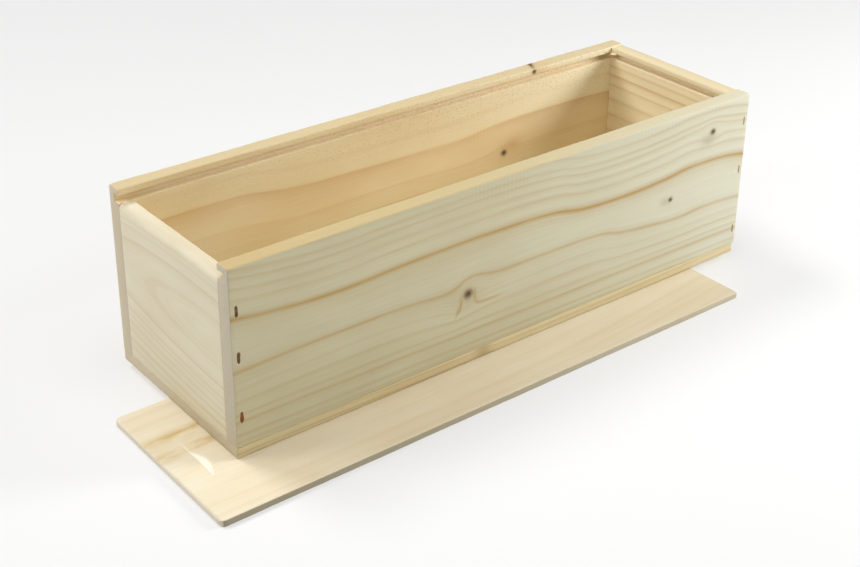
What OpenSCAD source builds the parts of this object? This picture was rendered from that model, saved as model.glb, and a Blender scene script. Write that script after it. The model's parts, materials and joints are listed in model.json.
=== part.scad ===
// Long wooden box with a sliding lid, shown open: the lid lies under the box as a tray.
// X runs along the box, from the low end (-X), where the lid slides out, to the high end (+X).
// Z = 0 is the surface that the lid lies on, and the box is centred on X = 0 and Y = 0.

/* [Box] */
// Length over both ends
box_length = 340; // [270:1:420]
// Width over both sides
box_width = 110; // [85:1:150]
// Height from the underside of the bottom board to the top of the sides
box_height = 100; // [75:1:140]

/* [Boards] */
// Thickness of the two long sides
side_thickness = 9; // [7.5:0.5:12]
// Thickness of the low end board
low_end_thickness = 8; // [6:0.5:12]
// Thickness of the high end board
high_end_thickness = 9; // [7.5:0.5:12]
// Thickness of the bottom board
bottom_thickness = 6; // [4:0.5:9]
// How far the bottom board stops short of the high end's outer face
bottom_setback = 1.2; // [0:0.1:3]
// How far the high end's top lies below the tops of the sides
high_end_drop = 0.5; // [0:0.1:2]
// Radius of the sanded long edges
arris_radius = 0.5; // [0.2:0.1:1]
// Radius of the low end's outer top edge
low_end_round = 3; // [1:0.5:5]

/* [Lid] */
// Thickness of the lid panel
lid_thickness = 3.6; // [3:0.1:5]
// Plan radius of the lid's two corners at the pull edge
pull_corner_radius = 3; // [1:0.5:6]
// Plan radius of the lid's two corners at the edge that goes in first
stop_corner_radius = 1.5; // [0.5:0.5:4]
// How far the lid sticks out past the low end while it lies under the box
lid_out_end = 30; // [10:1:60]
// How far the lid sticks out past the front side while it lies under the box
lid_out_front = 35; // [10:1:45]

/* [Lid groove] */
// Depth of the groove in the sides and in the high end
groove_depth = 4.5; // [3:0.1:5.5]
// Height of the lip above the groove
lip_height = 3.5; // [2:0.1:6]
// Free height between the lid and the groove
lid_face_gap = 0.4; // [0.2:0.1:1]
// Free width between each long edge of the lid and its groove
lid_side_gap = 0.5; // [0.2:0.1:1.5]
// Free length between the lid and the bottom of the high end's groove
lid_end_gap = 0.5; // [0.2:0.1:2]

/* [Finger notch] */
// Length of the notch across the lid
notch_length = 25; // [16:1:40]
// Depth of the notch
notch_depth = 2; // [1:0.1:2.6]
// Distance from the lid's pull edge to the notch's straight wall
notch_setback = 15; // [8:1:30]
// Shift of the notch from the lid's centre line, towards the front
notch_shift = 6.5; // [-15:0.5:15]
// Slope of the notch's straight wall
notch_wall_angle = 60; // [45:1:75]

/* [Staples] */
// Width of a staple over both legs
crown_width = 5.8; // [4.5:0.1:8]
// Width of the wire
wire_width = 1.25; // [0.8:0.05:1.6]
// Thickness of the wire
wire_thickness = 1; // [0.6:0.05:1.4]
// Length of a leg, crown included
leg_length = 20; // [16:1:25]
// How far a crown lies below the wood's face
staple_sink = 0.7; // [0.2:0.1:1.5]
// Room around a crown in the mouth that it leaves in the wood
mouth_gap = 0.15; // [0.05:0.05:0.4]
// Distance from the low end's outer face to its corner staples
low_staple_inset = 3.4; // [2.5:0.1:5]
// Distance from the high end's outer face to its corner staples
high_staple_inset = 2.6; // [2.2:0.1:5]
// Distance of the lowest and highest low-end staples from the box's underside and top
low_staple_margin = 22; // [16:1:30]
// The same distance at the high end
high_staple_margin = 16; // [14:1:30]
// How far the middle corner staple lies above half height
middle_staple_rise = 4; // [-8:1:8]
// Bottom staples along each long side
bottom_staple_count = 4; // [2:1:6]
// Distance from the box's ends to the first bottom staple of a long side
bottom_staple_margin = 28; // [20:1:50]
// Distance from a side's inner face to the bottom staple of an end board
end_staple_margin = 20; // [18:1:26]

/* [Hidden] */
$fn = 32;
cut = 1; // how far a cutting shape runs past the face that it opens

// Heights, from the surface that the lid lies on
box_base = lid_thickness;
wall_base = box_base + bottom_thickness;
wall_top = box_base + box_height;
wall_height = wall_top - wall_base;
groove_height = lid_thickness + lid_face_gap;
groove_floor = wall_top - lip_height - groove_height;

// Plan of the box
half_length = box_length / 2;
half_width = box_width / 2;
inner_width = box_width - 2 * side_thickness;
high_end_inner_x = half_length - high_end_thickness;

// The lid fits between the groove bottoms, and from the high end's groove to the low end's face
lid_width = inner_width + 2 * groove_depth - 2 * lid_side_gap;
lid_length = high_end_inner_x + groove_depth - lid_end_gap + half_length;
lid_x = -half_length - lid_out_end;
lid_y = -half_width - lid_out_front;

// The notch is the mark of a tilted disc cutter whose flat end leaves the straight wall
notch_wall_run = notch_depth / sin(notch_wall_angle);
cutter_radius = (pow(notch_length / 2, 2) + pow(notch_wall_run, 2)) / (2 * notch_wall_run);

// Staple rows
low_staple_x = -half_length + low_staple_inset;
high_staple_x = half_length - high_staple_inset;
middle_staple_z = box_base + box_height / 2 + middle_staple_rise;
function corner_staple_heights(margin) = [box_base + margin, middle_staple_z, wall_top - margin];
side_staple_y = half_width - side_thickness / 2;
side_staple_pitch = (box_length - 2 * bottom_staple_margin) / (bottom_staple_count - 1);
side_staple_xs = [for (i = [0 : bottom_staple_count - 1]) -half_length + bottom_staple_margin + i * side_staple_pitch];
end_staple_ys = [for (side = [-1, 1]) side * (inner_width / 2 - end_staple_margin)];

// Rectangle with its four corners rounded
module eased_rectangle(width, height, radius) {
    translate([radius, 0]) square([width - 2 * radius, height]);
    translate([0, radius]) square([width, height - 2 * radius]);
    for (x = [radius, width - radius], y = [radius, height - radius])
        translate([x, y]) circle(radius);
}

// Runs a profile, drawn as thickness across and height up, along +X
module along_x(length) {
    rotate([90, 0, 90]) linear_extrude(length) children();
}

// Runs a profile, drawn as thickness along X and height up, along +Y
module along_y(length) {
    mirror([0, 1, 0]) rotate([90, 0, 0]) linear_extrude(length) children();
}

// One staple: origin on the wood's face, crown along X, legs down -Z
module staple() {
    rotate([90, 0, 0])
        linear_extrude(wire_width, center = true)
            translate([0, -staple_sink]) staple_outline();
}

module staple_outline() {
    bend = wire_thickness * 0.8;
    point = wire_thickness * 1.2;
    half_crown = crown_width / 2;
    translate([-half_crown + bend, -wire_thickness])
        square([crown_width - 2 * bend, wire_thickness]);
    for (side = [0, 1]) mirror([side, 0]) {
        translate([half_crown - bend, -bend]) intersection() {
            circle(bend);
            square(bend);
        }
        translate([half_crown - bend, -wire_thickness]) square([bend - wire_thickness * 0.2, wire_thickness * 0.2]);
        polygon([
            [half_crown - wire_thickness, -bend], [half_crown, -bend],
            [half_crown, -leg_length + point], [half_crown - wire_thickness * 0.7, -leg_length],
            [half_crown - wire_thickness, -leg_length + point * 0.5]
        ]);
    }
}

// What a driven staple leaves open in the wood: its own shape, and the mouth above its crown
module staple_hole() {
    staple();
    mouth_length = crown_width + 2 * mouth_gap;
    mouth_width = wire_width + 2 * mouth_gap;
    translate([-mouth_length / 2, -mouth_width / 2, -staple_sink])
        cube([mouth_length, mouth_width, staple_sink + cut]);
}

// Places the children at one corner: end is -1 low or +1 high, side is -1 front or +1 back
module at_corner(end, side) {
    x = end < 0 ? low_staple_x : high_staple_x;
    heights = corner_staple_heights(end < 0 ? low_staple_margin : high_staple_margin);
    mirror([0, side < 0 ? 0 : 1, 0])
        for (z = heights)
            translate([x, -half_width, z]) rotate([90, 0, 0]) rotate([0, 0, 90]) children();
}

// Places the children under one long side
module under_side(side) {
    for (x = side_staple_xs)
        translate([x, side * side_staple_y, box_base]) rotate([180, 0, 0]) children();
}

// Places the children under one end board
module under_end(end) {
    x = end < 0 ? -half_length + low_end_thickness / 2 : half_length - high_end_thickness / 2;
    for (y = end_staple_ys)
        translate([x, y, box_base]) rotate([180, 0, 0]) rotate([0, 0, 90]) children();
}

// Grooved side board with its outer face at the front
module side_board(side) {
    difference() {
        mirror([0, side < 0 ? 0 : 1, 0])
            translate([-half_length, -half_width, wall_base])
                along_x(box_length) difference() {
                    eased_rectangle(side_thickness, wall_height, arris_radius);
                    translate([side_thickness - groove_depth, groove_floor - wall_base])
                        square([groove_depth + cut, groove_height]);
                }
        for (end = [-1, 1]) at_corner(end, side) staple_hole();
        under_side(side) staple_hole();
    }
}

module front_side() color([0.80, 0.77, 0.60]) side_board(-1);

module back_side() color([0.84, 0.74, 0.55]) side_board(1);

module low_end() color([0.88, 0.83, 0.67]) {
    height = groove_floor - wall_base;
    difference() {
        translate([-half_length, -inner_width / 2, wall_base])
            along_y(inner_width) difference() {
                eased_rectangle(low_end_thickness, height, arris_radius);
                translate([-cut, height - low_end_round]) difference() {
                    square([low_end_round + cut, low_end_round + cut]);
                    translate([low_end_round + cut, 0]) circle(low_end_round);
                }
            }
        for (side = [-1, 1]) at_corner(-1, side) staple_hole();
        under_end(-1) staple_hole();
    }
}

module high_end() color([0.86, 0.79, 0.60]) {
    height = wall_height - high_end_drop;
    difference() {
        translate([high_end_inner_x, -inner_width / 2, wall_base])
            along_y(inner_width) difference() {
                eased_rectangle(high_end_thickness, height, arris_radius);
                translate([-cut, groove_floor - wall_base]) square([groove_depth + cut, groove_height]);
            }
        for (side = [-1, 1]) at_corner(1, side) staple_hole();
        under_end(1) staple_hole();
    }
}

module bottom() color([0.78, 0.70, 0.50]) {
    difference() {
        translate([-half_length, -half_width, box_base])
            along_x(box_length - bottom_setback) eased_rectangle(box_width, bottom_thickness, arris_radius * 2);
        for (side = [-1, 1]) under_side(side) staple_hole();
        for (end = [-1, 1]) under_end(end) staple_hole();
    }
}

// Lid panel lying under the box, pull edge at the low end, notch upwards
module lid() color([0.92, 0.85, 0.68]) {
    wall_x = lid_x + notch_setback;
    floor_x = wall_x + notch_depth / tan(notch_wall_angle);
    difference() {
        translate([lid_x, lid_y, 0]) linear_extrude(lid_thickness) lid_outline();
        translate([
            floor_x - cutter_radius * cos(notch_wall_angle),
            lid_y + lid_width / 2 - notch_shift,
            lid_thickness - notch_depth + cutter_radius * sin(notch_wall_angle)
        ])
            rotate([0, notch_wall_angle, 0])
                cylinder(r = cutter_radius, h = notch_depth * 5, $fn = 64);
    }
}

module lid_outline() {
    a = pull_corner_radius;
    b = stop_corner_radius;
    translate([a, 0]) square([lid_length - a - b, lid_width]);
    translate([0, a]) square([lid_length / 2, lid_width - 2 * a]);
    translate([lid_length / 2, b]) square([lid_length / 2, lid_width - 2 * b]);
    for (y = [a, lid_width - a]) translate([a, y]) circle(a);
    for (y = [b, lid_width - b]) translate([lid_length - b, y]) circle(b);
}

module front_low_staples() color("dimgray") at_corner(-1, -1) staple();

module front_high_staples() color("dimgray") at_corner(1, -1) staple();

module back_low_staples() color("dimgray") at_corner(-1, 1) staple();

module back_high_staples() color("dimgray") at_corner(1, 1) staple();

module bottom_front_staples() color("dimgray") under_side(-1) staple();

module bottom_back_staples() color("dimgray") under_side(1) staple();

module bottom_low_staples() color("dimgray") under_end(-1) staple();

module bottom_high_staples() color("dimgray") under_end(1) staple();

front_side();
back_side();
low_end();
high_end();
bottom();
lid();
front_low_staples();
front_high_staples();
back_low_staples();
back_high_staples();
bottom_front_staples();
bottom_back_staples();
bottom_low_staples();
bottom_high_staples();
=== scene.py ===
"""Looks of a pine loaf mould with a sliding lid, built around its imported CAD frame."""

import json
import math
import random

import bmesh
import bpy
import numpy as np
from mathutils import Matrix, Vector


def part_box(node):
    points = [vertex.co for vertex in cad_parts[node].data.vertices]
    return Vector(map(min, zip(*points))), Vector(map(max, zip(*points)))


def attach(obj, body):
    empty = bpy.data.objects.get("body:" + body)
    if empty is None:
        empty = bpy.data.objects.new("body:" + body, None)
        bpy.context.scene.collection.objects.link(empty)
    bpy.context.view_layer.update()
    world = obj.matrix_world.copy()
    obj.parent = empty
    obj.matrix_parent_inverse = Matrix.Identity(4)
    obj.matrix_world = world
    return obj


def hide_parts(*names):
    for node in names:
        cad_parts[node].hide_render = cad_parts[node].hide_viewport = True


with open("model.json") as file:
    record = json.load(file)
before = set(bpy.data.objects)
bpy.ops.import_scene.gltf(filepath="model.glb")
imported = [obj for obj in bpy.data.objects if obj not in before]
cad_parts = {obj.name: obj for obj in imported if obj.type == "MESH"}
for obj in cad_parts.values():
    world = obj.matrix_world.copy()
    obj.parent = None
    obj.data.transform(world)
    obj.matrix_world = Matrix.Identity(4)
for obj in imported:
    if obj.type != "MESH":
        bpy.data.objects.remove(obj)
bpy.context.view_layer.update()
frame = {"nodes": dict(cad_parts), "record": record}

MM = 0.001
X, Y, Z = 0, 1, 2

# World axes that a board's grain, width and thickness run along
SIDE_AXES = (X, Z, Y)
END_AXES = (Y, Z, X)
FLAT_AXES = (X, Y, Z)

# Board edges
ARRIS = 0.6 * MM
WORN_ARRIS = ARRIS * 1.6
SAWN_EASE = 0.3 * MM
GROOVE_ARRIS = 0.2 * MM
LOW_END_ROUND = 3 * MM
SHARP = 0.05 * MM  # no corner is sharper
RADIUS_DRIFT = 0.4  # share of a corner's radius that sanding by hand adds or takes
NICK_REACH = 1.3 * MM
SECTION_PITCH = 2.5 * MM
ARC_STEPS = 4
EASE_STEPS = 4

# Radii of a grooved board's corners, in the order of grooved_corners
GROOVED_RADII = (ARRIS, ARRIS, GROOVE_ARRIS, GROOVE_ARRIS, GROOVE_ARRIS, GROOVE_ARRIS, ARRIS, WORN_ARRIS)

# Lid
LID_ARRIS = 0.6 * MM
PULL_ROUND = 1.4 * MM
PULL_CORNER = 3 * MM
STOP_CORNER = 1.5 * MM
CORNER_STEPS = 8
LID_SIDE_GAP = 0.5 * MM

# The lid's finger notch, and the shallow score that runs past it
NOTCH_LENGTH = 25 * MM
NOTCH_DEPTH = 2 * MM
NOTCH_SETBACK = 15 * MM
NOTCH_SHIFT = 6.5 * MM
NOTCH_ANGLE = math.radians(60)
SCORE_LENGTH = 37 * MM
SCORE_DEPTH = 0.4 * MM
SCORE_SHIFT = 1.5 * MM
CUTTER_THICKNESS = 10 * MM

# The torn mouths that staples leave in the wood: half their length and half their width
WIDE_MOUTH = (3.1 * MM, 1.05 * MM)
NARROW_MOUTH = (2.6 * MM, 0.75 * MM)
MOUTH_DEPTH = 0.76 * MM
MOUTH_POINTS = 16
STAPLE_GAP = 8 * MM  # wider than a crown, narrower than the space between two staples

# Wood, in mm
WAVE_REACH = 15  # the furthest that a growth line may wave
RIPPLE_PITCH = 2.6
GROOVE_SHOWN = 5  # how far in from the inner face still counts as the groove
SEED_SHIFT = 7.3  # how far apart two seeds look at the noise, in its own cycles


# ---- Camera ----

def add_camera():
    """The camera: azimuth 0 looks along +Y, and the elevation is above the horizon."""
    azimuth = math.radians(-38.391)
    elevation = math.radians(26.061)
    roll = math.radians(0.552)
    back = Vector((
        math.sin(azimuth) * math.cos(elevation),
        -math.cos(azimuth) * math.cos(elevation),
        math.sin(elevation),
    ))
    level_right = (-back).cross(Vector((0, 0, 1))).normalized()
    level_up = level_right.cross(-back)
    right = math.cos(roll) * level_right + math.sin(roll) * level_up
    up = math.cos(roll) * level_up - math.sin(roll) * level_right
    data = bpy.data.cameras.new("camera")
    data.sensor_width = 36
    data.lens = 62.745
    data.shift_y = -0.0971
    data.clip_start = 0.05
    data.clip_end = 50
    camera = bpy.data.objects.new("camera", data)
    place = Vector((-0.45536, -0.55654, 0.41741))
    turned = Matrix((right, up, back)).transposed().to_4x4()
    camera.matrix_world = Matrix.Translation(place) @ turned
    bpy.context.scene.collection.objects.link(camera)
    bpy.context.scene.camera = camera


# ---- Board meshes ----

def drift(seed):
    """A smooth random function of a place in metres, from about -1 to 1."""
    chance = random.Random(seed)
    waves = [
        (size, math.tau / (length * MM), chance.uniform(0, math.tau))
        for size, length in ((0.45, 97), (0.3, 41), (0.25, 17), (0.2, 8))
    ]
    return lambda place: sum(size * math.sin(rate * place + phase) for size, rate, phase in waves)


def unit(vector):
    return vector / np.linalg.norm(vector)


def left_of(direction):
    return np.array((-direction[1], direction[0]))


def counterclockwise(corners):
    after = np.roll(corners, -1, axis=0)
    area = np.sum(corners[:, 0] * after[:, 1] - after[:, 0] * corners[:, 1])
    return area > 0


def rounded_ring(corners, radii, inset, edge_steps):
    """Points round a square-cornered outline, drawn in by inset, with each corner rounded."""
    count = len(corners)
    arcs = []
    for i, corner in enumerate(corners):
        before = unit(corner - corners[i - 1])
        after = unit(corners[(i + 1) % count] - corner)
        drawn_in = corner + inset * (left_of(before) + left_of(after))
        turns = [math.pi / 2 * k / ARC_STEPS for k in range(ARC_STEPS + 1)]
        arcs.append([
            drawn_in - before * radii[i] * (1 - math.sin(turn)) + after * radii[i] * (1 - math.cos(turn))
            for turn in turns
        ])
    ring = []
    for i, arc in enumerate(arcs):
        following = arcs[(i + 1) % count][0]
        ring += arc
        ring += [arc[-1] + (following - arc[-1]) * k / edge_steps[i] for k in range(1, edge_steps[i])]
    return np.array(ring)


def sections(low, high, low_ease, high_ease):
    """Places of a board's sections along its grain, each with how far it is drawn in there."""
    turns = [math.pi / 2 * k / EASE_STEPS for k in range(EASE_STEPS)]
    start = [(low + low_ease * (1 - math.cos(turn)), low_ease * (1 - math.sin(turn))) for turn in turns]
    stop = [(high - high_ease * (1 - math.cos(turn)), high_ease * (1 - math.sin(turn))) for turn in turns]
    straight = high - low - low_ease - high_ease
    steps = round(straight / SECTION_PITCH)
    middle = [(low + low_ease + straight * k / steps, 0) for k in range(steps + 1)]
    return start + middle + stop[::-1]


def board(name, axes, places, corners_at, radii, seed, nicks=()):
    """A board swept along its grain: places are (place, inset) pairs, and corners_at gives the
    outline's corners at a place, as (width, thickness) pairs in the row frame. Each corner's
    radius wanders as a hand-sanded one does, and nicks are (place, corner, depth) knocks in it."""
    wander = [drift(seed * 100 + i) for i in range(len(radii))]
    first = np.array(corners_at(places[len(places) // 2][0]))
    flip = not counterclockwise(first)
    spans = np.linalg.norm(np.roll(first, -1, axis=0) - first, axis=1)
    edge_steps = [max(1, round(span / SECTION_PITCH)) for span in spans]
    rings = []
    for place, inset in places:
        corners = np.array(corners_at(place))
        local = [
            max(radius - inset, SHARP) * (1 + RADIUS_DRIFT * wander[i](place))
            + sum(depth * math.exp(-(((place - at) / NICK_REACH) ** 2)) for at, c, depth in nicks if c == i)
            for i, radius in enumerate(radii)
        ]
        if flip:
            ring = rounded_ring(corners[::-1], local[::-1], inset, edge_steps[-2::-1] + edge_steps[-1:])
        else:
            ring = rounded_ring(corners, local, inset, edge_steps)
        rings.append(ring)
    count = len(rings[0])
    points = np.zeros((len(rings), count, 3))
    points[:, :, axes[0]] = np.array([place for place, inset in places])[:, None]
    points[:, :, axes[1]] = np.array(rings)[:, :, 0]
    points[:, :, axes[2]] = np.array(rings)[:, :, 1]
    faces = [
        (k * count + i, k * count + (i + 1) % count, (k + 1) * count + (i + 1) % count, (k + 1) * count + i)
        for k in range(len(rings) - 1)
        for i in range(count)
    ]
    last = (len(rings) - 1) * count
    faces += [tuple(range(count)), tuple(range(last + count - 1, last - 1, -1))]
    return closed_mesh(name, points.reshape(-1, 3), faces)


def closed_mesh(name, points, faces):
    mesh = bpy.data.meshes.new(name)
    mesh.from_pydata([tuple(point) for point in points], [], faces)
    made = bmesh.new()
    made.from_mesh(mesh)
    bmesh.ops.recalc_face_normals(made, faces=made.faces)
    made.to_mesh(mesh)
    made.free()
    piece = bpy.data.objects.new(name, mesh)
    bpy.context.scene.collection.objects.link(piece)
    return piece


def smooth(piece):
    """Smooth shading that breaks at real edges."""
    mesh = piece.data
    mesh.polygons.foreach_set("use_smooth", [True] * len(mesh.polygons))
    mesh.set_sharp_from_angle(angle=math.radians(32))


def carve(piece, tools):
    """Cuts the tools out of the piece for good. Their material lines the cuts."""
    for tool in tools:
        cut = piece.modifiers.new("cut", "BOOLEAN")
        cut.object = tool
        cut.solver = "EXACT"
        cut.material_mode = "TRANSFER"
    graph = bpy.context.evaluated_depsgraph_get()
    mesh = bpy.data.meshes.new_from_object(piece.evaluated_get(graph))
    piece.modifiers.clear()
    piece.data = mesh
    for tool in tools:
        bpy.data.objects.remove(tool)


# ---- Staple mouths and the lid's notch ----

def staple_places(node, axis):
    """Middles of a node's staples along the axis that they are spread over."""
    values = sorted({round(vertex.co[axis], 5) for vertex in frame["nodes"][node].data.vertices})
    groups = [[values[0]]]
    for value in values[1:]:
        if value - groups[-1][-1] > STAPLE_GAP:
            groups.append([])
        groups[-1].append(value)
    return [(group[0] + group[-1]) / 2 for group in groups]


def cutter(name, made, material):
    """An object from a bmesh, for carve."""
    mesh = bpy.data.meshes.new(name)
    made.to_mesh(mesh)
    made.free()
    mesh.materials.append(material)
    tool = bpy.data.objects.new(name, mesh)
    bpy.context.scene.collection.objects.link(tool)
    return tool


def squarish(value, power):
    """A sine or cosine swelled so that an ellipse fills out towards its box."""
    return math.copysign(abs(value) ** power, value)


def mouth(centre, out, along, size, material, seed):
    """Cutter for one ragged mouth: centre on the wood's face, out off the face, along the crown."""
    chance = random.Random(seed)
    across = out.cross(along)
    made = bmesh.new()
    levels = ((MOUTH_DEPTH, 1.1), (0, 1.0), (-MOUTH_DEPTH * 0.6, 0.92), (-MOUTH_DEPTH, 0.8))
    ragged = [chance.uniform(0.75, 1.1) for _ in range(MOUTH_POINTS)]
    rings = []
    for height, scale in levels:
        ring = []
        for k in range(MOUTH_POINTS):
            turn = math.tau * k / MOUTH_POINTS
            half_length = size[0] * (0.5 + 0.5 * scale)
            half_width = size[1] * scale * ragged[k]
            ring.append(made.verts.new(
                centre + out * height
                + along * half_length * squarish(math.cos(turn), 0.7)
                + across * half_width * squarish(math.sin(turn), 0.8)
            ))
        rings.append(ring)
    for upper, lower in zip(rings, rings[1:]):
        for k in range(MOUTH_POINTS):
            after = (k + 1) % MOUTH_POINTS
            made.faces.new((upper[k], upper[after], lower[after], lower[k]))
    made.faces.new(rings[0])
    made.faces.new(rings[-1])
    bmesh.ops.recalc_face_normals(made, faces=made.faces)
    return cutter("mouth", made, material)


def corner_mouths(node, face_y, outward, size, material, seed):
    """Mouths in a side's outer face. The staples stand one above the other."""
    low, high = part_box(node)
    x = (low.x + high.x) / 2
    return [
        mouth(Vector((x, face_y, z)), Vector((0, outward, 0)), Vector((0, 0, 1)), size, material, seed + k)
        for k, z in enumerate(staple_places(node, Z))
    ]


def under_mouths(node, axis, material, seed):
    """Mouths in the box's underside. The staples stand in a row along the axis."""
    low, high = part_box(node)
    middle = (low + high) / 2
    along = Vector((1, 0, 0)) if axis == X else Vector((0, 1, 0))
    made = []
    for k, place in enumerate(staple_places(node, axis)):
        centre = Vector((middle.x, middle.y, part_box("bottom")[0].z))
        centre[axis] = place
        made.append(mouth(centre, Vector((0, 0, -1)), along, WIDE_MOUTH, material, seed + k))
    return made


def notch_cutter(lid_low, lid_high, length, depth, shift, material):
    """The tilted disc whose flat end leaves the notch's straight wall and whose rim its slope."""
    wall_run = depth / math.sin(NOTCH_ANGLE)
    radius = ((length / 2) ** 2 + wall_run**2) / (2 * wall_run)
    floor_x = lid_low.x + NOTCH_SETBACK + depth / math.tan(NOTCH_ANGLE)
    axis = Vector((math.sin(NOTCH_ANGLE), 0, math.cos(NOTCH_ANGLE)))
    start = Vector((
        floor_x - radius * math.cos(NOTCH_ANGLE),
        (lid_low.y + lid_high.y) / 2 - shift,
        lid_high.z - depth + radius * math.sin(NOTCH_ANGLE),
    ))
    middle = Matrix.Translation(start + axis * CUTTER_THICKNESS / 2)
    made = bmesh.new()
    bmesh.ops.create_cone(
        made, cap_ends=True, segments=256, radius1=radius, radius2=radius, depth=CUTTER_THICKNESS,
        matrix=middle @ Matrix.Rotation(NOTCH_ANGLE, 4, "Y"),
    )
    return cutter("notch", made, material)


# ---- Materials ----

def srgb(red, green, blue):
    """A colour given as 0 to 255 screen values, as Blender's linear one."""
    def linear(value):
        value = value / 255
        return value / 12.92 if value <= 0.04045 else ((value + 0.055) / 1.055) ** 2.4
    return (linear(red), linear(green), linear(blue), 1)


class Tree:
    """Short calls for a material's nodes. Each gives an output socket, and takes sockets or values."""

    def __init__(self, name):
        self.material = bpy.data.materials.new(name)
        self.material.use_nodes = True
        self.nodes = self.material.node_tree.nodes
        self.links = self.material.node_tree.links
        self.nodes.clear()

    def add(self, kind, inputs=(), **settings):
        node = self.nodes.new(kind)
        for key, value in settings.items():
            setattr(node, key, value)
        for key, value in dict(inputs).items():
            if isinstance(value, bpy.types.NodeSocket):
                self.links.new(value, node.inputs[key])
            else:
                node.inputs[key].default_value = value
        return node

    def shade(self, inputs):
        """Ends the tree in a Principled shader, and gives the material."""
        shader = self.add("ShaderNodeBsdfPrincipled", inputs)
        self.add("ShaderNodeOutputMaterial", {0: shader.outputs[0]})
        return self.material

    def places(self):
        """The point's X, Y and Z in mm. Boards are built where they stand, so these are the row frame's."""
        point = self.add("ShaderNodeTexCoord").outputs["Object"]
        split = self.add("ShaderNodeSeparateXYZ", {0: point}).outputs
        return [self.product(split[axis], 1 / MM) for axis in (X, Y, Z)]

    def facing(self, axis):
        """1 where the surface faces along the axis, either way, and 0 where it lies along it."""
        normal = self.add("ShaderNodeNewGeometry").outputs["Normal"]
        return self.math("ABSOLUTE", self.add("ShaderNodeSeparateXYZ", {0: normal}).outputs[axis])

    def bump(self, height, distance, strength):
        inputs = {"Height": height, "Distance": distance, "Strength": strength}
        return self.add("ShaderNodeBump", inputs).outputs[0]

    def math(self, operation, *values, clamp=False):
        settings = {"operation": operation, "use_clamp": clamp}
        return self.add("ShaderNodeMath", enumerate(values), **settings).outputs[0]

    def total(self, first, *others):
        for other in others:
            first = self.math("ADD", first, other)
        return first

    def product(self, first, *others):
        for other in others:
            first = self.math("MULTIPLY", first, other)
        return first

    def less(self, value, amount):
        return self.math("SUBTRACT", value, amount)

    def clamped(self, value):
        """The value held between 0 and 1."""
        return self.math("MULTIPLY", value, 1, clamp=True)

    def gauss(self, *squares):
        """exp of minus the sum of the squares of the values."""
        return self.math("EXPONENT", self.product(self.total(*[self.product(v, v) for v in squares]), -1))

    def ramp(self, value, low, high, out_low=0, out_high=1):
        """A straight run from out_low to out_high while the value goes from low to high."""
        inputs = {0: value, 1: low, 2: high, 3: out_low, 4: out_high}
        return self.add("ShaderNodeMapRange", inputs).outputs[0]

    def steps(self, value, low, high, out_low=0, out_high=1):
        """The same run with smooth ends."""
        inputs = {0: value, 1: low, 2: high, 3: out_low, 4: out_high}
        return self.add("ShaderNodeMapRange", inputs, interpolation_type="SMOOTHSTEP").outputs[0]

    def mix(self, amount, first, second, mode="MIX"):
        inputs = {0: amount, 6: first, 7: second}
        return self.add("ShaderNodeMix", inputs, data_type="RGBA", blend_type=mode).outputs[2]

    def lerp(self, amount, first, second):
        return self.add("ShaderNodeMix", {0: amount, 2: first, 3: second}).outputs[0]

    def vector(self, x, y, z):
        return self.add("ShaderNodeCombineXYZ", enumerate((x, y, z))).outputs[0]

    def noise(self, places, rates, detail=2, roughness=0.5, seed=0):
        """Noise about 0, from about -0.5 to 0.5. rates are its cycles per mm along each place."""
        moved = [self.math("MULTIPLY_ADD", p, rate, seed * SEED_SHIFT) for p, rate in zip(places, rates)]
        inputs = {"Vector": self.vector(*moved), "Scale": 1, "Detail": detail, "Roughness": roughness}
        return self.less(self.add("ShaderNodeTexNoise", inputs).outputs[0], 0.5)

    def curve(self, value, points, reach):
        """A smooth curve through given (place, offset) points in mm, with offsets up to reach."""
        low, high = points[0][0], points[-1][0]
        node = self.add("ShaderNodeFloatCurve", {1: self.ramp(value, low, high)})
        track = node.mapping.curves[0]
        track.points[0].location = (0, points[0][1] / reach / 2 + 0.5)
        track.points[1].location = (1, points[-1][1] / reach / 2 + 0.5)
        for place, offset in points[1:-1]:
            track.points.new((place - low) / (high - low), offset / reach / 2 + 0.5)
        node.mapping.update()
        return self.product(self.less(node.outputs[0], 0.5), 2 * reach)


def board_places(t, axes, base):
    """A point's places along a board's grain, width and thickness, in mm. Heights are above base."""
    places = t.places()
    places[Z] = t.less(places[Z], base / MM)
    return [places[axis] for axis in axes]


def ring_field(t, u, v, w, depth, wood):
    """How far each point lies across the growth rings, in mm, before the knots bend it."""
    wobble = t.noise((u, v, w), (0.012, 0.03, 0.03), 1, seed=wood["seed"])
    wobble = t.product(wobble, wood.get("wobble", 1.5))
    if "pith" in wood:
        height, behind, tilt, lean = wood["pith"]
        rise = t.less(t.less(v, height), t.product(u, lean))
        run = t.total(t.product(u, tilt), t.product(depth, wood["slope"]), behind)
        field = t.math("SQRT", t.total(t.product(rise, rise), t.product(run, run)))
        return t.total(field, wobble)
    waves = wood["waves"]
    wave = t.curve(u, waves[0][1], WAVE_REACH)
    for (low, _), (high, points) in zip(waves, waves[1:]):
        wave = t.lerp(t.steps(v, low, high), wave, t.curve(u, points, WAVE_REACH))
    return t.total(t.less(v, wave), t.product(depth, wood["slope"]), wobble)


def knot_places(t, u, v, depth, knot):
    """A point's place about a knot's heart, along and across the grain, in mm. Knots may lean."""
    lean_u, lean_v = knot.get("lean", (0, 0))
    along = t.less(t.less(u, knot["at"][0]), t.product(depth, lean_u))
    across = t.less(t.less(v, knot["at"][1]), t.product(depth, lean_v))
    return along, across


def bend_round_knots(t, field, u, v, depth, knots):
    """Rings part round each knot: near it the field is drawn towards its value at the heart."""
    for knot in knots:
        along, across = knot_places(t, u, v, depth, knot)
        near = t.gauss(t.product(along, 1 / (knot["reach"] * 1.4)), t.product(across, 1 / knot["reach"]))
        field = t.less(field, t.product(across, near, 0.9))
    return field


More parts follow.
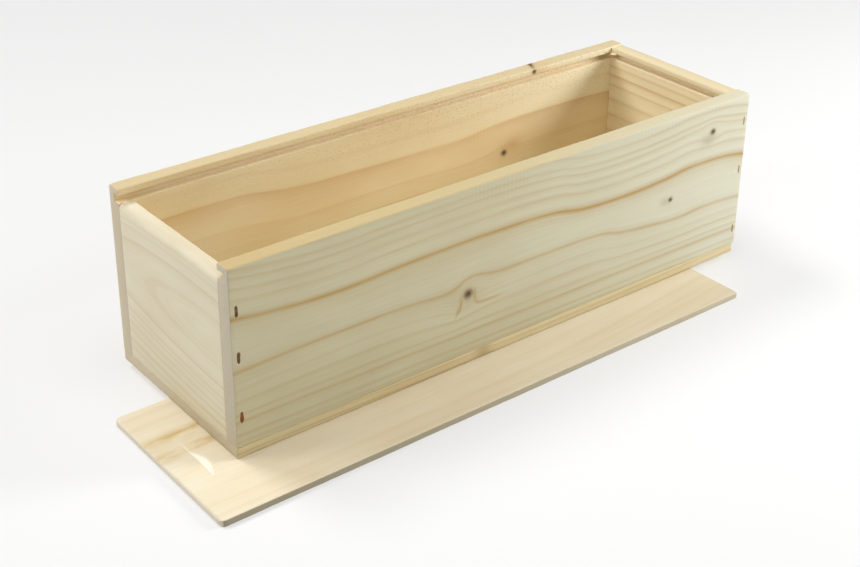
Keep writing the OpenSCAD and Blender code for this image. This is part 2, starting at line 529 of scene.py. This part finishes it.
def latewood(t, field, lines):
    """Darkness of the growth lines: each is (place, strength, fade below, fade above), in mm."""
    total = None
    for place, strength, below, above in lines:
        offset = t.less(field, place)
        rise = t.math("EXPONENT", t.product(offset, 1 / below))
        fall = t.math("EXPONENT", t.product(offset, -1 / above))
        line = t.product(t.math("MINIMUM", rise, fall), strength)
        total = line if total is None else t.math("MAXIMUM", total, line)
    return total


def growth_lines(t, u, v, w, field, wood):
    """The lines that the rings draw on the wood: the strong ones, the fine ones and soft bands."""
    seed = wood["seed"]
    wander = t.noise((u, v, w), (0.02, 0.05, 0.05), 2, seed=seed + 1)
    lines = t.product(latewood(t, field, wood["lines"]), t.steps(wander, -0.25, 0.2, 0.7, 1.15))
    fine = t.noise((u, field, w), (0.004, 0.9, 0.02), 3, 0.6, seed + 2)
    growth = t.total(lines, t.product(fine, wood.get("fine", 0.35)))
    blotch = t.steps(t.noise((u, v, w), (0.08, 0.3, 0.3), 2, seed=seed + 8), -0.2, 0.2, 0.35, 1.1)
    for place, half_width, strength in wood.get("bands", ()):
        band = t.gauss(t.product(t.less(field, place), 1 / half_width))
        growth = t.total(growth, t.product(band, blotch, strength))
    return growth


def pale_wood(t, u, v, depth, patches, wood):
    """The colour between the growth lines, with painted light where far is given: paler towards high u."""
    pale = t.mix(t.steps(patches, -0.2, 0.2), wood["pale"], wood["deep"])
    # Painted light: the board grows paler towards its high end
    if "far" in wood:
        far = t.product(t.steps(u, -80, 200), t.steps(v, *wood["far_zone"]))
        pale = t.mix(far, pale, wood["far"])
    if "outer" in wood:
        pale = t.mix(t.steps(depth, 1, 8), pale, wood["outer"])
    return pale


def paint_edge_shade(t, u, v, facing, colour, wood):
    """Painted shade: darkens a board's long narrow faces, less so towards its high end."""
    edge = t.product(t.steps(facing, 0.5, 0.9), t.ramp(u, -170, 170, *wood.get("edge_shade_fade", (0.95, 0.4))))
    if "groove" in wood:
        groove_top = wood["groove"][1]
        edge = t.product(edge, t.steps(v, groove_top + 0.5, groove_top + 1.5))
    return t.mix(edge, colour, wood["edge"])


def paint_groove_light(t, u, v, w, colour, wood):
    """Painted light in the lid's groove: paler wood, except at its open end and just under its lip, where
    its shade is kept.
    """
    low, high = wood["groove"]
    inside = t.math("ABSOLUTE", t.less(w, wood["inner"]))
    # Painted light: where the groove's floor and lower wall are drawn paler
    painted_light = t.product(
        t.steps(inside, 0.1, 0.6), t.steps(inside, GROOVE_SHOWN, GROOVE_SHOWN + 0.5, 1, 0),
        t.steps(v, low - 0.6, low - 0.3), t.steps(v, low + 1.8, high - 0.6, 1, 0),
        t.steps(u, -165, -140, 0.15, 1),
    )
    return t.mix(t.product(painted_light, 0.7), colour, srgb(254, 239, 208))


def flecks(t, u, v, w, wood):
    """Short flecks of resin and torn fibre."""
    level = wood.get("fleck_level", 0.24)
    grain = t.noise((u, v, w), (0.5, 1.6, 1.6), 1, seed=wood["seed"] + 6)
    fleck = t.steps(grain, level, level + 0.08)
    if "fleck_zone" in wood:
        fleck = t.product(fleck, t.steps(v, *wood["fleck_zone"]), t.steps(u, -150, 60, 0.5, 1))
    return fleck


def tint_end_grain(t, field, cells, patches, end_grain, colour, wood):
    """End grain is duller, with its rings close and its cells cut across."""
    pitch = wood.get("ring_pitch", 1.6)
    rings = t.math("SINE", t.total(t.product(field, math.tau / pitch), t.product(patches, 9)))
    dark = t.clamped(t.total(0.4, t.product(rings, 0.2), t.product(cells, 0.5)))
    return t.mix(t.product(end_grain, 0.85), colour, t.mix(dark, wood["end"], wood["end_line"]))


def planer_ripple(t, u, v, patches):
    """The planer's shallow ripples, which show in patches near a board's high end."""
    ripple = t.math("SINE", t.total(t.product(u, math.tau / RIPPLE_PITCH), t.product(patches, 6)))
    return t.product(ripple, t.steps(patches, -0.05, 0.2), t.steps(t.total(u, t.product(v, 2)), 60, 200))


def spruce(name, axes, base, wood):
    """Planed spruce: growth lines, fibre, knots and end grain that run through the board."""
    t = Tree(name)
    u, v, w = board_places(t, axes, base)
    depth = t.less(w, wood["face"])
    seed = wood["seed"]
    knots = wood.get("knots", ())
    field = bend_round_knots(t, ring_field(t, u, v, w, depth, wood), u, v, depth, knots)
    growth = growth_lines(t, u, v, w, field, wood)
    streaks = t.noise((u, v, w), (0.03, 2.4, 2.4), 3, 0.6, seed + 3)
    patches = t.noise((u, v, w), (0.012, 0.03, 0.03), 3, 0.5, seed + 4)
    fuzz = t.noise((u, v, w), (1.3, 1.3, 1.3), 2, 0.6, seed + 5)
    cells = t.noise((u, v, w), (0.8, 0.8, 0.8), 3, 0.7, seed + 7)
    fleck = flecks(t, u, v, w, wood)
    end_grain = t.steps(t.facing(axes[0]), 0.5, 0.8)

    colour = t.mix(t.clamped(growth), pale_wood(t, u, v, depth, patches, wood), wood["line"])
    # Painted shade on the long narrow faces
    if "edge" in wood:
        colour = paint_edge_shade(t, u, v, t.facing(axes[1]), colour, wood)
    # Painted light in the groove
    if "groove" in wood:
        colour = paint_groove_light(t, u, v, w, colour, wood)
    colour = t.mix(t.product(fleck, wood.get("flecks", 0.25)), colour, wood["line"])
    for hook in wood.get("hooks", ()):
        colour = t.mix(hook_line(t, u, v, fuzz, *hook), colour, wood["line"])
    relief = t.total(t.product(growth, 0.5), t.product(streaks, 0.7))
    for knot in knots:
        colour, relief = add_knot(t, u, v, depth, knot, colour, relief, fuzz)
    colour = tint_end_grain(t, field, cells, patches, end_grain, colour, wood)
    # Painted light in the lid's notch: palest where it is deepest
    if "painted_light" in wood:
        colour = t.mix(t.steps(w, 2.9, 3.7, 1, 0), colour, wood["painted_light"])

    ripple = planer_ripple(t, u, v, patches)
    # The ripple term paints the ripples' shade and light into the colour; streaks and fuzz are the wood's
    # own tone.
    light = t.total(1, t.product(streaks, 0.18), t.product(fuzz, 0.07), t.product(ripple, 0.018))
    colour = t.mix(1, colour, t.vector(light, light, light), "MULTIPLY")
    cut_cells = t.product(cells, end_grain, wood.get("end_relief", 0.45))
    relief = t.total(relief, t.product(ripple, 0.1), cut_cells, t.product(fleck, -0.4))
    roughness = t.total(0.6, t.product(growth, -0.1), t.product(streaks, 0.16), t.product(end_grain, 0.15))
    return t.shade({
        "Base Color": colour,
        "Roughness": t.clamped(roughness),
        "Specular IOR Level": wood.get("gloss", 0.35),
        "Normal": t.bump(relief, 0.12 * MM, 0.5),
    })


def hook_line(t, u, v, fuzz, corner, sides, run, drop, strength):
    """A line that turns a corner in the quarter whose signs are sides. It fades out run mm away
    along the grain and drop mm away across it."""
    away = t.product(t.less(u, corner[0]), sides[0])
    across = t.product(t.less(v, corner[1]), sides[1])
    size = t.math("SQRT", t.total(t.product(away, away), t.product(across, across), 0.01))
    quarter = t.steps(t.total(away, across), 0.5, 2)
    off = t.math("DIVIDE", t.less(t.product(away, across), 2.2), size)
    line = t.gauss(t.total(t.product(off, 1.05), t.product(fuzz, 0.5)))
    fade = t.product(quarter, t.steps(away, run * 0.3, run, 1, 0), t.steps(across, drop * 0.5, drop, 1, 0))
    return t.product(line, fade, strength)


def add_knot(t, u, v, depth, knot, colour, relief, fuzz):
    """Colour and relief with a knot added: a patch beside it, rings, a rim and a sunk dark heart."""
    along, across = knot_places(t, u, v, depth, knot)
    radius = knot["radius"]
    around = t.math("SQRT", t.total(t.product(along, along, 0.8), t.product(across, across)))
    around = t.total(around, t.product(fuzz, radius * 0.7))
    shade_u, shade_v, shade_size, shade_strength = knot["shade"]
    halo_and_shadow = t.gauss(
        t.product(t.less(along, shade_u), 1 / (shade_size * 1.5)),
        t.product(t.less(across, shade_v), 1 / shade_size),
    )
    # The patch is painted shadow beside the front board's knots, and a tinted halo beside the back board's.
    colour = t.mix(t.product(halo_and_shadow, shade_strength), colour, knot["halo_and_shadow"])
    rings = t.total(0.5, t.product(t.math("SINE", t.product(around, math.tau / (radius * 0.75))), 0.5))
    fade = t.steps(around, radius * 1.1, radius * 2.6, 1, 0)
    colour = t.mix(t.product(rings, fade, 0.22), colour, knot["rim"])
    rim = t.steps(around, radius * 0.7, radius * 1.6, 1, 0)
    heart = t.steps(around, radius * 0.2, radius * 1.05, 1, 0)
    colour = t.mix(t.product(rim, 0.8), colour, knot["rim"])
    colour = t.mix(t.product(heart, 0.95), colour, knot["heart"])
    return colour, t.total(relief, t.product(rim, 0.8), t.product(heart, -2.2))


def torn_wood(name, dark, light):
    """The fibrous lining of a staple's mouth."""
    t = Tree(name)
    fibre = t.noise(t.places(), (0.5, 2.5, 2.5), 3, 0.7)
    return t.shade({
        "Base Color": t.mix(t.steps(fibre, -0.2, 0.25), dark, light),
        "Roughness": 0.9,
        "Specular IOR Level": 0.15,
        "Normal": t.bump(fibre, 0.3 * MM, 0.8),
    })


def staple_wire(name, dull, worn_bright, metallic):
    """Dull wire whose coat has worn thin in places. The lowest staples have rusted."""
    t = Tree(name)
    places = t.places()
    worn = t.steps(t.noise(places, (0.9, 0.9, 0.9), 4, 0.65), -0.12, 0.16)
    scratch = t.noise(places, (6, 6, 0.6), 3, 0.6, 2)
    rust = t.product(t.steps(places[Z], 30, 36, 1, 0), t.steps(worn, 0.1, 0.6, 0.55, 1))
    return t.shade({
        "Base Color": t.mix(rust, t.mix(worn, dull, worn_bright), srgb(168, 104, 58)),
        "Roughness": t.total(0.42, t.product(worn, -0.08), t.product(scratch, 0.25)),
        "Metallic": metallic,
        "Normal": t.bump(scratch, 0.05 * MM, 0.5),
    })


def floor_material():
    """The matt white top of a light table, lit faintly from below."""
    t = Tree("floor_paper")
    point = t.add("ShaderNodeTexCoord").outputs["Object"]
    tone = t.add("ShaderNodeTexNoise", {"Vector": point, "Scale": 3, "Detail": 2}).outputs[0]
    return t.shade({
        "Base Color": t.mix(tone, srgb(174, 174, 174), srgb(178, 178, 178)),
        "Roughness": 0.9,
        "Specular IOR Level": 0.1,
        "Emission Color": (1, 1, 1, 1),
        "Emission Strength": 0.47,
    })


# ---- The wood of each board ----
#
# Places are in mm: u along the grain, v across the width, w through the thickness. They are the row
# frame's, but heights in the box count from its underside. The keys that aren't plain are:
#   face: the w that the growth lines are set at, and slope: how far they shift per mm of depth
#   waves: (v, curve) pairs, a growth line's wander at that v as (u, offset) points, blended between
#   pith: instead of waves, rings round a heart: its height, how far behind, its tilt and its lean
#   lines: growth lines as (place, strength, fade below, fade above)
#   bands: broad soft lines as (place, half width, strength)
#   far: painted light, paler towards high u in the v zone after it; outer: the colour deep in from the face
#   edge: painted shade on the long narrow faces; the key after it: its strength at low and at high u
#   groove: the heights that the lid's groove lies between, and inner: the w of its open side

KNOT_COLOURS = {"heart": srgb(84, 66, 50), "rim": srgb(160, 136, 98)}

FRONT_WOOD = {
    "seed": 1, "face": -55, "slope": 2.2,
    # pale and deep: a darker, greener cream than the other boards, which paints in the cool shade on the
    # front face
    "pale": srgb(210, 204, 171), "deep": srgb(203, 195, 160), "line": srgb(186, 153, 92),
    # edge: painted shade on the top faces, strongest at the low end
    # far: painted light, the face paler towards the high end
    "far": srgb(220, 218, 196), "far_zone": (-2, -1), "edge": srgb(201, 178, 128), "edge_shade_fade": (1, 0.25),
    "groove": (92.5, 96.5), "inner": -46,
    "end": srgb(210, 202, 182), "end_line": srgb(184, 170, 150), "ring_pitch": 3.1,
    "waves": (
        (15, ((-170, 1.5), (-60, 0.5), (60, -0.5), (170, -2))),
        (42, ((-170, 0.5), (-110, 2.5), (-70, 1.5), (-50, -0.8), (-42, -1.6), (-36, 0.4), (-27, 2.6),
              (-19, 2.2), (-10, 2), (20, 2.2), (50, 2), (75, -3), (97, -6), (120, -8), (140, -7),
              (170, -9.5))),
        (66, ((-170, 5), (-145, 1.5), (-114, -0.5), (-80, 0.5), (-50, 1), (-20, 1), (20, -0.5),
              (50, -5), (80, -6), (105, -5), (130, -3), (170, -6.5))),
    ),
    "lines": (
        (1.5, 0.3, 1.2, 0.6), (7.8, 0.32, 1.2, 0.7), (11.3, 0.38, 1.2, 0.7), (18.5, 0.52, 1.6, 0.9),
        (22.8, 0.32, 1.3, 0.7), (29.3, 0.36, 1.5, 0.8), (36, 0.25, 1.6, 0.8), (45.5, 0.75, 1.7, 1.3),
        (45, 0.3, 4, 1.5), (70, 1.2, 1.7, 1.5), (69.5, 0.4, 5, 1), (79.5, 0.4, 1.8, 0.9),
        (85, 0.34, 1.8, 0.9), (90.5, 0.36, 1.4, 0.7), (94.5, 0.38, 1.4, 0.7), (100, 0.38, 1.4, 0.7),
    ),
    "knots": (
        # Each knot's soft patch here is painted shadow
        dict(KNOT_COLOURS, at=(-33, 41), radius=2.7, reach=9,
             halo_and_shadow=srgb(186, 164, 122), shade=(0, -2, 6, 0.35)),
        dict(KNOT_COLOURS, at=(111.5, 51), radius=1.4, reach=5,
             halo_and_shadow=srgb(172, 162, 136), shade=(-4, 0, 2.5, 0.45)),
        dict(KNOT_COLOURS, at=(141.8, 84), radius=1.8, reach=6,
             halo_and_shadow=srgb(176, 162, 132), shade=(-3, -4, 4, 0.5)),
    ),
    # Lines that turn beside the large knot: (corner, quarter, run along, drop across, strength)
    "hooks": (
        ((-29, 33.2), (1, 1), 26, 12, 0.6),
        ((-37.2, 31), (-1, 1), 4, 11, 0.8),
        ((-39.2, 29), (-1, 1), 3, 9, 0.4),
    ),
}

BACK_WOOD = {
    "seed": 2, "face": 46, "slope": -2.2, "fine": 0.2,
    "flecks": 0.5, "fleck_level": 0.1, "fleck_zone": (68, 88),
    # far: painted light, the inner face paler towards the high end
    "far": srgb(252, 241, 210), "far_zone": (52, 80),
    # edge: painted shade on the top faces
    "edge": srgb(211, 193, 151), "edge_shade_fade": (0.95, 0.85),
    "groove": (92.5, 96.5), "inner": 46,
    # pale and deep: warmer and more saturated than the other boards, which paints in the warm bounce light
    # inside the box
    "pale": srgb(244, 225, 183), "deep": srgb(237, 213, 163), "line": srgb(210, 162, 98),
    "end": srgb(212, 202, 180), "end_line": srgb(186, 170, 146), "ring_pitch": 3.1,
    "waves": (
        (40, ((-170, 1), (-80, -1), (0, 1.5), (60, -1), (170, 2))),
        (65, ((-170, 4), (-105, 4.5), (-85, 2), (-65, -0.5), (-40, -1.5), (7, -2.5), (47, -2.5),
              (65, -0.5), (95, 0.5), (170, -1))),
    ),
    "lines": (
        (10, 0.4, 2, 0.7), (19, 0.35, 2, 0.7), (30, 0.4, 3, 0.8), (42, 0.35, 5, 0.8), (55, 0.25, 4, 1),
        (72, 0.5, 9, 0.7), (84, 0.15, 2, 1), (96, 0.3, 2, 0.7), (106, 0.3, 2, 0.7),
    ),
    "knots": (
        dict(KNOT_COLOURS, at=(77, 52.5), radius=1.9, reach=7,
             halo_and_shadow=srgb(212, 168, 116), shade=(6, 4, 5, 0.5)),
        dict(KNOT_COLOURS, at=(98.5, 98.3), lean=(0.42, 0.2), radius=1.4, reach=5,
             halo_and_shadow=srgb(212, 172, 122), shade=(4, 0, 4, 0.35)),
    ),
}

LOW_WOOD = {
    "seed": 3, "face": -170, "slope": 0.6, "pith": (58, 7.5, 0.19, 0.03), "wobble": 1,
    "pale": srgb(232, 225, 199), "deep": srgb(225, 215, 186), "line": srgb(200, 172, 130),
    "end": srgb(222, 200, 160), "end_line": srgb(190, 156, 112),
    "lines": (
        (11.7, 0.2, 2.6, 1.2), (22.5, 0.4, 1.4, 0.7), (28.8, 0.28, 1.5, 0.8),
        (31.5, 0.2, 1, 0.6), (35.8, 0.28, 1.3, 0.7), (40.1, 0.3, 1.2, 0.7), (45, 0.45, 1.3, 0.7),
        (49.6, 0.3, 1, 0.6), (54, 0.25, 1, 0.6),
    ),
}

HIGH_WOOD = {
    "seed": 4, "face": 161, "slope": 0.7, "wobble": 1,
    "pale": srgb(251, 238, 203), "deep": srgb(247, 230, 190), "outer": srgb(220, 206, 175),
    "line": srgb(210, 166, 110),
    # edge: painted shade on the top face
    "edge": srgb(218, 202, 160), "groove": (92.5, 96.5), "inner": 161,
    "end": srgb(222, 200, 160), "end_line": srgb(190, 156, 112),
    "waves": ((20, ((-46, 1), (0, -0.5), (46, -1))), (80, ((-46, -0.5), (0, 0.3), (46, 0.6)))),
    "lines": (
        (12, 0.4, 1.6, 0.6), (19, 0.35, 1.4, 0.6), (27, 0.4, 1.6, 0.6), (36, 0.45, 1.8, 0.6),
        (47, 0.4, 2, 0.7), (57, 0.4, 2, 0.7), (66.7, 0.5, 2, 0.7), (75.8, 0.4, 1.6, 0.6),
        (82, 0.6, 1.4, 0.6), (87.5, 0.4, 1.2, 0.5), (93, 0.4, 1.2, 0.5), (98.5, 0.12, 1.2, 0.5),
    ),
}

BOTTOM_WOOD = {
    "seed": 5, "face": 0, "slope": 1.4, "wobble": 2,
    "pale": srgb(228, 213, 172), "deep": srgb(220, 202, 156), "line": srgb(188, 152, 96),
    "end": srgb(216, 204, 180), "end_line": srgb(188, 170, 142),
    "waves": (
        (-20, ((-170, 2), (-60, 0), (50, -2), (170, 1))),
        (30, ((-170, -3), (-40, 1), (90, 3), (170, 0))),
    ),
    "lines": (
        (-53, 0.5, 1.2, 0.6), (-48, 0.4, 1.3, 0.6), (-42, 0.5, 1.6, 0.7), (-34, 0.5, 2, 0.8),
        (-24, 0.45, 3, 0.8), (-9, 0.5, 4, 0.9), (9, 0.4, 4, 0.9), (22, 0.5, 3, 0.8), (31, 0.45, 2, 0.7),
        (38, 0.5, 1.6, 0.6), (44, 0.4, 1.2, 0.6), (49, 0.45, 1.2, 0.6), (54, 0.4, 1, 0.5),
    ),
    "knots": (
        dict(KNOT_COLOURS, at=(-22, -57.5), radius=1.2, reach=4,
             halo_and_shadow=srgb(178, 152, 104), shade=(0, 1, 3.5, 0.6)),
        dict(KNOT_COLOURS, at=(84, 14), radius=2.6, reach=10,
             halo_and_shadow=srgb(196, 150, 100), shade=(4, 0, 6, 0.4)),
    ),
}

LID_WOOD = {
    "seed": 6, "face": 3.6, "slope": 1.2, "wobble": 1.5, "fine": 0.22, "flecks": 0.12, "gloss": 0.45,
    "end_relief": 0.1,
    "pale": srgb(236, 226, 201), "deep": srgb(230, 216, 187), "line": srgb(206, 175, 110),
    "end": srgb(232, 224, 202), "end_line": srgb(206, 192, 164),
    "waves": (
        (-70, ((-200, 0), (-60, -1), (0, 0), (50, 4), (100, 9), (136, 13))),
        (-25, ((-200, 0), (-185, 0.8), (-60, 1), (0, 2), (136, 6))),
    ),
    "lines": (
        (-98, 0.14, 3, 1.2), (-90, 0.18, 3, 1.2), (-84.5, 0.2, 3, 1), (-77, 0.22, 3, 1), (-66, 0.1, 4, 1.5),
        (-50, 0.12, 4, 1.5), (-5, 0.25, 2.5, 1.4), (4, 0.2, 2, 1),
    ),
    # Broad soft bands: (place, half width, strength)
    "bands": ((-33.5, 4, 0.75), (-20.5, 4, 0.85), (-27, 2, 0.1)),
    # edge: painted shade on the lid's long edges
    "edge": srgb(160, 150, 122),
}

# The notch's wood, with painted light: palest where it is deepest
NOTCH_PAINTED_LIGHT = dict(LID_WOOD, fine=0.1, flecks=0.05, bands=(), painted_light=srgb(252, 246, 228))


# ---- The pieces ----

def groove_sizes():
    """Heights of the floor and roof of the lid's groove, and its depth."""
    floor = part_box("low_end")[1].z
    mount = next(m for m in frame["record"]["mounts"] if m["name"] == "lid_groove")
    roof = 2 * mount["pos_m"][Z] - floor
    lid_low, lid_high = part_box("lid")
    reach = (lid_high.y - lid_low.y) / 2 + LID_SIDE_GAP
    return floor, roof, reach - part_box("back_side")[0].y


def grooved_corners(foot, top, outer, inner, groove):
    """Outline of a wall board with the lid's groove in its inner face, as (height, thickness)."""
    floor, roof, depth = groove
    deep = inner + math.copysign(depth, outer - inner)
    return [
        (foot, outer), (foot, inner), (floor, inner), (floor, deep), (roof, deep), (roof, inner),
        (top, inner), (top, outer),
    ]


def finish_piece(piece, node, body):
    smooth(piece)
    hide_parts(node)
    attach(piece, body)


def build_side(half, outward, wood, base, groove, stained_shaded_lining, painted_light_lining):
    """The front or back board. outward is the sign of Y that its outer face looks along."""
    low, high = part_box(half + "_side")
    outer, inner = (low.y, high.y) if outward < 0 else (high.y, low.y)
    corners = grooved_corners(low.z, high.z, outer, inner, groove)
    lip, rim = len(corners) - 2, len(corners) - 1
    nicks = (
        (low.x, rim, 0.8 * MM), (low.x, lip, 0.6 * MM),
        (high.x, rim, 0.5 * MM), (-62 * MM, rim, 0.3 * MM),
    )
    piece = board(
        half + "_board", SIDE_AXES, sections(low.x, high.x, SAWN_EASE, SAWN_EASE), lambda place: corners,
        GROOVED_RADII, wood["seed"], nicks,
    )
    piece.data.materials.append(spruce(half + "_board_spruce", SIDE_AXES, base, wood))
    seed = 10 * wood["seed"]
    cutters = corner_mouths(half + "_low_staples", outer, outward, WIDE_MOUTH, stained_shaded_lining, seed)
    cutters += corner_mouths(half + "_high_staples", outer, outward, NARROW_MOUTH, painted_light_lining, seed + 5)
    carve(piece, cutters)
    finish_piece(piece, half + "_side", "box")


def build_end(node, corners, radii, wood, base):
    """An end board, whose grain runs across the box."""
    low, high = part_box(node)
    piece = board(
        node + "_board", END_AXES, sections(low.y, high.y, SAWN_EASE, SAWN_EASE), lambda place: corners,
        radii, wood["seed"],
    )
    piece.data.materials.append(spruce(node + "_spruce", END_AXES, base, wood))
    finish_piece(piece, node, "box")


def build_ends(base, groove):
    low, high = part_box("low_end")
    plain = [(low.z, low.x), (low.z, high.x), (high.z, high.x), (high.z, low.x)]
    build_end("low_end", plain, [ARRIS, ARRIS, ARRIS * 1.2, LOW_END_ROUND], LOW_WOOD, base)
    low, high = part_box("high_end")
    grooved = grooved_corners(low.z, high.z, high.x, low.x, groove)
    build_end("high_end", grooved, GROOVED_RADII, HIGH_WOOD, base)


def build_bottom(base, lining):
    low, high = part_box("bottom")
    corners = [(low.y, low.z), (high.y, low.z), (high.y, high.z), (low.y, high.z)]
    piece = board(
        "bottom_board", FLAT_AXES, sections(low.x, high.x, ARRIS, ARRIS), lambda place: corners,
        [WORN_ARRIS, WORN_ARRIS, ARRIS, ARRIS], BOTTOM_WOOD["seed"],
    )
    piece.data.materials.append(spruce("bottom_spruce", FLAT_AXES, base, BOTTOM_WOOD))
    cutters = []
    for node, axis, seed in (
        ("bottom_front_staples", X, 60), ("bottom_back_staples", X, 70),
        ("bottom_low_staples", Y, 80), ("bottom_high_staples", Y, 90),
    ):
        cutters += under_mouths(node, axis, lining, seed)
    carve(piece, cutters)
    finish_piece(piece, "bottom", "box")


def build_box():
    # Brown lining: torn fibre stained brown, and darker still with painted shade
    stained_shaded_lining = torn_wood("torn_wood_stained_shaded", srgb(156, 116, 74), srgb(206, 168, 120))
    # Pale lining: painted light that lifts the shade in the high staples' mouths
    painted_light_lining = torn_wood("torn_wood_painted_light", srgb(216, 200, 164), srgb(236, 224, 194))
    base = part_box("bottom")[0].z
    groove = groove_sizes()
    build_side("front", -1, FRONT_WOOD, base, groove, stained_shaded_lining, painted_light_lining)
    build_side("back", 1, BACK_WOOD, base, groove, stained_shaded_lining, painted_light_lining)
    build_ends(base, groove)
    build_bottom(base, stained_shaded_lining)


def corner_cut(distance, radius):
    """How far a corner that is round in plan takes the edge in, at a distance from the end."""
    short = max(radius - distance, 0)
    return radius - math.sqrt(max(radius**2 - short**2, 0))


def lid_places(low, high):
    """The lid's sections, with more of them round the corners of its plan."""
    places = sections(low.x, high.x, PULL_ROUND, LID_ARRIS)
    turns = [math.pi / 2 * k / CORNER_STEPS for k in range(1, CORNER_STEPS)]
    near = [low.x + PULL_CORNER * (1 - math.cos(turn)) for turn in turns]
    near += [high.x - STOP_CORNER * (1 - math.cos(turn)) for turn in turns]
    return sorted(places + [(x, 0) for x in near if low.x + PULL_ROUND < x < high.x - LID_ARRIS])


def build_lid():
    low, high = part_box("lid")

    def corners_at(place):
        cut = max(corner_cut(place - low.x, PULL_CORNER), corner_cut(high.x - place, STOP_CORNER))
        return [
            (low.y + cut, low.z), (high.y - cut, low.z), (high.y - cut, high.z), (low.y + cut, high.z),
        ]

    piece = board(
        "lid_panel", FLAT_AXES, lid_places(low, high), corners_at,
        [ARRIS, ARRIS, LID_ARRIS, LID_ARRIS], LID_WOOD["seed"],
    )
    piece.data.materials.append(spruce("lid_spruce", FLAT_AXES, 0, LID_WOOD))
    # The notch's lining, with painted light
    painted_light = spruce("notch_painted_light_spruce", FLAT_AXES, 0, NOTCH_PAINTED_LIGHT)
    carve(piece, [
        notch_cutter(low, high, NOTCH_LENGTH, NOTCH_DEPTH, NOTCH_SHIFT, painted_light),
        notch_cutter(low, high, SCORE_LENGTH, SCORE_DEPTH, SCORE_SHIFT, painted_light),
    ])
    finish_piece(piece, "lid", "lid")


def dress_staples():
    # Lacquered wire, darkened further with painted shade where the crowns sit deep
    brown = staple_wire("lacquered_wire_painted_shade", srgb(98, 68, 46), srgb(146, 122, 98), 0.6)
    # Zinc wire, partly its own pale colour and partly painted light against its mouths' shade
    zinc = staple_wire("zinc_wire_painted_light", srgb(200, 196, 186), srgb(222, 225, 228), 0.15)
    for name, node in frame["nodes"].items():
        if name.endswith("_staples"):
            node.data.materials.clear()
            node.data.materials.append(zinc if name.endswith("high_staples") else brown)


# ---- Floor and light ----

def add_floor():
    """A disc that is wide enough to fill every view, a hair below the lid."""
    bpy.ops.mesh.primitive_circle_add(vertices=64, radius=12, fill_type="NGON")
    floor = bpy.context.object
    floor.name = "floor"
    floor.location.z = -0.05 * MM
    floor.data.materials.append(floor_material())


def add_light(name, direction, distance, size, power, colour):
    """A round lamp that looks at the origin, out of the camera's sight. Lengths are in metres."""
    data = bpy.data.lights.new(name, "AREA")
    data.shape = "DISK"
    data.size = size
    data.energy = power
    data.color = colour
    light = bpy.data.objects.new(name, data)
    way = Vector(direction).normalized()
    light.location = way * distance
    light.rotation_mode = "QUATERNION"
    light.rotation_quaternion = way.to_track_quat("Z", "Y")
    light.visible_camera = False
    bpy.context.scene.collection.objects.link(light)


def add_world():
    world = bpy.data.worlds.new("studio")
    bpy.context.scene.world = world
    world.use_nodes = True
    background = world.node_tree.nodes["Background"]
    background.inputs[0].default_value = (1, 1, 1, 1)
    background.inputs[1].default_value = 0.19


WHITE = (1, 1, 1)
WARM_WHITE = (1, 0.995, 0.98)

add_camera()
add_world()
add_light("back", (-0.22, 0.55, 0.9), 3.2, 1.2, 42, WHITE)
add_light("side", (-0.75, 0.3, 0.6), 1.05, 0.4, 2.9, WARM_WHITE)
add_light("above", (-0.1, -0.1, 0.6), 0.6, 0.3, 0.8, WHITE)
add_light("fill", (0.8, -0.52, 0.5), 0.95, 0.35, 5.8, WARM_WHITE)
add_floor()
bpy.context.scene.view_settings.view_transform = "Standard"

build_box()
build_lid()
dress_staples()
